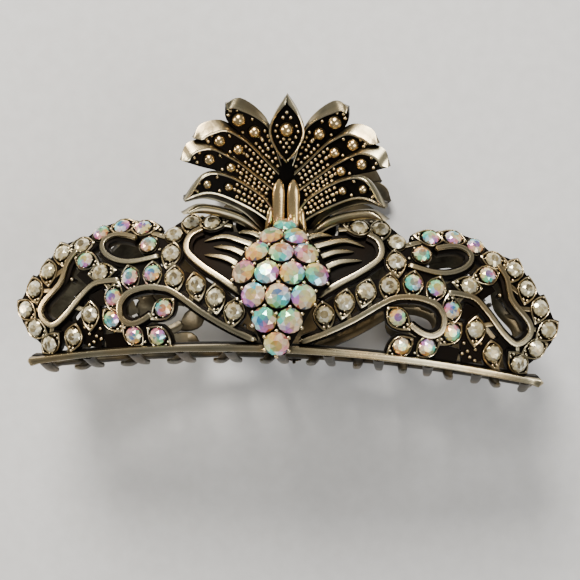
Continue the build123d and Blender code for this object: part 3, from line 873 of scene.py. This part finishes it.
def make_spring():
    """Wire of the torsion spring: rear leg, coil round the pin, front leg."""
    turns = 3 + (2 * math.pi - 2 * (math.pi / 2 - LEG_ANGLE)) / (2 * math.pi)
    start = math.pi / 2 - LEG_ANGLE
    count = 150
    coil = []
    for i in range(count + 1):
        a = start + 2 * math.pi * turns * i / count
        coil.append(Vector((COIL_LENGTH * (i / count - 0.5), HINGE_Y + COIL_R * math.cos(a),
                            COIL_R * math.sin(a))))
    rear_way = Vector((0, math.cos(LEG_ANGLE), -math.sin(LEG_ANGLE)))
    front_way = Vector((0, math.cos(LEG_ANGLE), math.sin(LEG_ANGLE)))
    legs = 12
    points = [coil[0] + rear_way * (LEG_LENGTH * (legs - i) / legs) for i in range(legs)] + coil
    points += [coil[-1] + front_way * (LEG_LENGTH * (i + 1) / legs) for i in range(legs)]
    wire = Shape()
    rings = []
    side = Vector((1, 0, 0))
    for i, p in enumerate(points):
        ahead = (points[min(i + 1, len(points) - 1)] - points[max(i - 1, 0)]).normalized()
        side = (side - ahead * side.dot(ahead)).normalized()
        up = ahead.cross(side)
        ring = []
        for k in range(12):
            a = 2 * math.pi * k / 12
            ring.append((p + (side * math.cos(a) + up * math.sin(a)) * WIRE_R, BRIGHT))
        rings.append(ring)
    wire.rings(rings)
    return wire


# ------------------------ objects

def place(v, rear=False):
    """A clip-frame point in mm as a row-frame point in metres; rear turns it half round Y."""
    turned = Vector((-v.x, v.y, -v.z)) if rear else v
    return turned * MM + SHIFT


def add_object(name, data):
    """Object in the scene that shows some data."""
    obj = bpy.data.objects.new(name, data)
    bpy.context.scene.collection.objects.link(obj)
    return obj


def to_object(name, verts, faces, rear, smooth):
    """Mesh object in the scene, with its outward normals made to agree."""
    mesh = bpy.data.meshes.new(name)
    mesh.from_pydata([place(v, rear) for v in verts], [], faces)
    mesh.update()
    built = bmesh.new()
    built.from_mesh(mesh)
    bmesh.ops.recalc_face_normals(built, faces=built.faces)
    built.to_mesh(mesh)
    built.free()
    mesh.polygons.foreach_set("use_smooth", [smooth] * len(mesh.polygons))
    return add_object(name, mesh)


def metal_object(name, shape, material, rear=False):
    """Smooth-shaded metal piece that carries its polish as a point attribute."""
    obj = to_object(name, shape.verts, shape.faces, rear, smooth=True)
    attribute = obj.data.attributes.new("polish", "FLOAT", "POINT")
    attribute.data.foreach_set("value", shape.polish)
    obj.data.set_sharp_from_angle(angle=math.radians(50))
    obj.data.materials.append(material)
    return obj


def stone_object(name, stones, material, rear):
    """Flat-shaded piece of one or more cut stones with a colour on every facet."""
    verts, faces, colours = [], [], []
    for stone_verts, stone_faces, stone_colours in stones:
        base = len(verts)
        verts += stone_verts
        faces += [tuple(base + i for i in f) for f in stone_faces]
        colours += stone_colours
    obj = to_object(name, verts, faces, rear, smooth=False)
    attribute = obj.data.color_attributes.new("facet", "FLOAT_COLOR", "CORNER")
    for polygon in obj.data.polygons:
        for loop in polygon.loop_indices:
            attribute.data[loop].color = (*colours[polygon.index], 1.0)
    obj.data.materials.append(material)
    return obj


# ------------------------ materials

def adjust(made, **settings):
    """Sets a node's properties, and its inputs where the key starts with in_."""
    for key, value in settings.items():
        if key.startswith("in_"):
            made.inputs[key[3:].replace("_", " ")].default_value = value
        else:
            setattr(made, key, value)
    return made


def new_material(name, **settings):
    """Node material, its tree and its Principled shader with some settings."""
    material = bpy.data.materials.new(name)
    material.use_nodes = True
    tree = material.node_tree
    return material, tree, adjust(tree.nodes["Principled BSDF"], **settings)


def node(tree, kind, **settings):
    """Adds a shader node of a kind with its settings."""
    return adjust(tree.nodes.new("ShaderNode" + kind), **settings)


def mix_node(tree, share, a, b, **settings):
    """Colour part of the way from one socket's to another's; the share is a socket or a number."""
    made = node(tree, "Mix", data_type="RGBA", **settings)
    for key, value in (("Factor", share), ("A", a), ("B", b)):
        feed(tree, value, made.inputs[key])
    return made.outputs["Result"]


def feed(tree, value, socket):
    """Gives an input its value, which is a number or another node's output."""
    if isinstance(value, (int, float)):
        socket.default_value = value
    else:
        tree.links.new(value, socket)


def math_node(tree, operation, a, b):
    """Math node whose inputs are sockets or numbers; clamped to 0 and 1."""
    made = node(tree, "Math", operation=operation, use_clamp=True)
    feed(tree, a, made.inputs[0])
    feed(tree, b, made.inputs[1])
    return made.outputs[0]


def ramp(tree, source, stops):
    """Colour ramp from a list of (position, colour)."""
    made = node(tree, "ValToRGB")
    elements = made.color_ramp.elements
    while len(elements) < len(stops):
        elements.new(0.5)
    for element, (position, colour) in zip(elements, stops):
        element.position = position
        element.color = (*colour, 1.0)
    tree.links.new(source, made.inputs[0])
    return made.outputs[0]


def speckle(tree, scale, detail, roughness=0.5):
    """Noise over the object's own space."""
    noise = node(tree, "TexNoise", in_Scale=scale, in_Detail=detail, in_Roughness=roughness)
    tree.links.new(node(tree, "TexCoord").outputs["Object"], noise.inputs["Vector"])
    return noise.outputs["Fac"]


def antique_metal():
    """Brass-toned casting: black oxide in the recesses, rubbed champagne edges, cast grain, and painted
    shade on the backs.
    """
    material, tree, shader = new_material("antique_metal", in_Metallic=1.0)
    links = tree.links
    polish = node(tree, "Attribute", attribute_name="polish").outputs["Fac"]
    hollow = node(tree, "AmbientOcclusion", samples=6, only_local=True, in_Distance=0.0011)
    open_share = math_node(tree, "POWER", hollow.outputs["AO"], 1.3)
    worn = math_node(tree, "MULTIPLY", polish, open_share)
    patches = speckle(tree, 260.0, 4.0, 0.6)
    uneven = math_node(tree, "MULTIPLY", math_node(tree, "SUBTRACT", patches, 0.35), 0.6)
    worn = math_node(tree, "SUBTRACT", worn, math_node(tree, "MULTIPLY", uneven, 0.7))
    colour = ramp(tree, worn, [
        (0.0, (0.007, 0.006, 0.005)), (0.25, (0.042, 0.036, 0.025)), (0.5, (0.165, 0.145, 0.092)),
        (0.75, (0.38, 0.325, 0.20)), (1.0, (0.78, 0.66, 0.42))])
    gold = ramp(tree, worn, [
        (0.0, (0.009, 0.006, 0.004)), (0.5, (0.19, 0.13, 0.06)), (1.0, (0.86, 0.60, 0.28))])
    patchy = ramp(tree, speckle(tree, 110.0, 2.0), [(0.42, (0.0,) * 3), (0.66, (0.85,) * 3)])
    # polish above 1 turns the colour golden: light gilt on the beads, and a painted warm reflection on the
    # stem's petals
    gilt_and_reflection = math_node(tree, "MULTIPLY", math_node(tree, "SUBTRACT", polish, 1.0), 4.0)
    tinted = mix_node(tree, math_node(tree, "ADD", patchy, gilt_and_reflection), colour, gold)
    links.new(tinted, shader.inputs["Base Color"])
    rough = ramp(tree, worn, [(0.0, (0.55,) * 3), (0.5, (0.34,) * 3), (1.0, (0.2,) * 3)])
    links.new(rough, shader.inputs["Roughness"])
    bump = node(tree, "Bump", in_Strength=0.25, in_Distance=0.00006)
    links.new(speckle(tree, 2600.0, 3.0), bump.inputs["Height"])
    links.new(bump.outputs["Normal"], shader.inputs["Normal"])
    return material


def steel(name, colour, roughness):
    """Drawn steel with fine streaks along X."""
    material, tree, shader = new_material(name, in_Metallic=1.0)
    stretch = node(tree, "Mapping", in_Scale=(120.0, 2400.0, 2400.0))
    tree.links.new(node(tree, "TexCoord").outputs["Object"], stretch.inputs["Vector"])
    streaks = node(tree, "TexNoise", in_Scale=1.0, in_Detail=3.0)
    tree.links.new(stretch.outputs["Vector"], streaks.inputs["Vector"])
    dark = tuple(c * 0.6 for c in colour)
    smooth, rough = (roughness * 0.7,) * 3, (roughness * 1.4,) * 3
    for target, low, high in (("Base Color", dark, colour), ("Roughness", smooth, rough)):
        varied = ramp(tree, streaks.outputs["Fac"], [(0.3, low), (0.7, high)])
        tree.links.new(varied, shader.inputs[target])
    return material


def crystal(name, film_thickness):
    """Foiled crystal: a colour for each facet under a hard clear face, with a thin film in nm; the facet
    colours carry painted glints, painted reflection and painted shade.
    """
    material, tree, shader = new_material(
        name, in_Metallic=0.5, in_Roughness=0.1, in_IOR=1.55, in_Thin_Film_IOR=1.45,
        in_Thin_Film_Thickness=film_thickness)
    facet = node(tree, "VertexColor", layer_name="facet").outputs["Color"]
    shade = ramp(tree, speckle(tree, 1500.0, 1.0), [(0.38, (0.55, 0.52, 0.50)), (0.55, (1.0,) * 3)])
    shaded = mix_node(tree, 0.4, facet, shade, blend_type="MULTIPLY")
    tree.links.new(shaded, shader.inputs["Base Color"])
    return material


def pale_floor():
    """Plain pale table top with a faint tooth."""
    material, tree, shader = new_material("pale_floor", in_Roughness=0.75)
    tone = ramp(tree, speckle(tree, 400.0, 2.0), [(0.3, (0.60, 0.585, 0.56)), (0.7, (0.64, 0.625, 0.60))])
    tree.links.new(tone, shader.inputs["Base Color"])
    return material


# Facet colours of each kind of stone: bright crown facets, deeper cores of the table, dark pavilion. They
# paint in the light that a cut stone sends back: painted glints among the coating's colours on the bright
# facets, painted shade in the dark pavilion, and painted reflection in the clear stones' champagne and brown
# tones
AURORA = ([(0.9, 0.4, 0.12), (0.88, 0.7, 0.18), (0.93, 0.84, 0.48), (0.4, 0.78, 0.32),
           (0.12, 0.74, 0.46), (0.1, 0.6, 0.72), (0.94, 0.92, 0.82), (0.54, 0.26, 0.68),
           (0.86, 0.24, 0.38), (0.92, 0.54, 0.34), (0.94, 0.86, 0.56)],
          [(0.1, 0.26, 0.27), (0.2, 0.4, 0.22), (0.22, 0.1, 0.34), (0.58, 0.44, 0.12), (0.52, 0.2, 0.1),
           (0.06, 0.18, 0.4), (0.3, 0.26, 0.18), (0.66, 0.57, 0.26)],
          [(0.08, 0.04, 0.05), (0.34, 0.05, 0.06), (0.05, 0.09, 0.18), (0.32, 0.19, 0.04)])
CLEAR = ([(0.54, 0.42, 0.2), (0.86, 0.77, 0.49), (0.38, 0.3, 0.145), (0.93, 0.87, 0.64), (0.66, 0.55, 0.3)],
         [(0.22, 0.165, 0.08), (0.46, 0.37, 0.19), (0.13, 0.1, 0.055)],
         [(0.04, 0.032, 0.018), (0.11, 0.082, 0.04), (0.24, 0.18, 0.09)])


# ------------------------ the clip

def build_jaws(metal):
    """Front and rear castings, in place of the CAD jaws."""
    even = [TOOTH_PITCH * i for i in range(-5, 6)]
    odd = [TOOTH_PITCH * (i + 0.5) for i in range(-5, 5)]
    for body, teeth, rear in (("front_jaw", even, False), ("rear_jaw", odd, True)):
        casting = metal_object(body + "_casting", make_jaw(teeth), metal, rear)
        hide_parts(body)
        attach(casting, body)


def build_stones(aurora, clear):
    """Every stone node's cut stones, in place of the plain CAD ones."""
    for half, rear in (("front", False), ("rear", True)):
        for number, normal in enumerate(cluster_normals(), 1):
            rng = random.Random(100 + number)
            seat = BED_CENTRE + normal * SEAT_R
            stone = cut_stone(seat, normal, LARGE_R, LARGE_CUT, rng.uniform(0, MOST_TURN), AURORA, rng)
            finish_stones(f"{half}_cluster_stone_{number:02d}", [stone], aurora, half, rear)
        for side, sign in (("left", 1), ("right", -1)) if rear else (("right", 1), ("left", -1)):
            for group, stones in wing_group_stones(sign).items():
                is_aurora = group in AURORA_GROUPS
                finish_stones(f"{half}_{side}_{group}_stones", stones, aurora if is_aurora else clear,
                              half, rear)


def wing_group_stones(sign):
    """Cut stones of each group in the right-hand wing, or the left-hand one where sign is -1."""
    groups = {group: [] for group in GROUPS}
    for number, (spot, group, _) in enumerate(wing_stones()):
        rng = random.Random(1000 * sign + number)
        centre, normal = wall(spot.x, spot.y, -0.05)
        centre.x, normal.x = sign * centre.x, sign * normal.x
        palette = AURORA if group in AURORA_GROUPS else CLEAR
        stone = cut_stone(centre, normal, SMALL_R, SMALL_CUT, rng.uniform(0, MOST_TURN), palette, rng)
        groups[group].append(stone)
    return groups


def finish_stones(cad_node, stones, material, half, rear):
    """One stone piece that stands for a CAD node and rides on its jaw."""
    piece = stone_object(cad_node + "_cut", stones, material, rear)
    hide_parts(cad_node)
    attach(piece, half + "_jaw")


def build_hinge():
    """Pin with its material, and the spring's wire in place of the CAD spring."""
    pin = frame["nodes"]["hinge_pin"]
    pin.data.materials.clear()
    pin.data.materials.append(steel("pin_steel", (0.50, 0.47, 0.42), 0.3))
    bright = steel("spring_steel", (0.62, 0.60, 0.56), 0.25)
    spring = metal_object("torsion_spring_wire", make_spring(), bright)
    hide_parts("torsion_spring")
    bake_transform(spring)


def area_light(name, at, size, power, colour):
    """Square soft light aimed at the clip."""
    light = bpy.data.lights.new(name, "AREA")
    light.size, light.energy, light.color = size, power, colour
    obj = add_object(name, light)
    obj.location = at
    obj.rotation_euler = (LIGHT_AIM - Vector(at)).to_track_quat("-Z", "Y").to_euler()


def build_stage():
    """Pale floor, soft studio lights, dim world, and the camera above the clip."""
    mesh = bpy.data.meshes.new("floor")
    corner = [(-1, -1), (1, -1), (1, 1), (-1, 1)]
    mesh.from_pydata([(FLOOR_HALF * x, FLOOR_HALF * y, 0) for x, y in corner], [], [(0, 1, 2, 3)])
    mesh.materials.append(pale_floor())
    floor = add_object("floor", mesh)
    for light in LIGHTS:
        area_light(*light)
    world = bpy.data.worlds.new("studio")
    world.use_nodes = True
    adjust(world.node_tree.nodes["Background"], in_Color=(0.80, 0.84, 0.90, 1), in_Strength=0.32)
    bpy.context.scene.world = world
    camera = bpy.data.cameras.new("camera")
    camera.lens = CAMERA_LENS
    camera.clip_start = 0.01
    obj = add_object("camera", camera)
    obj.location = place(CAMERA_AT)
    obj.rotation_euler = tuple(math.radians(a) for a in CAMERA_TURN)
    bpy.context.scene.camera = obj


build_stage()
build_jaws(antique_metal())
build_stones(crystal("crystal_ab", 420.0), crystal("crystal_clear", 0.0))
build_hinge()
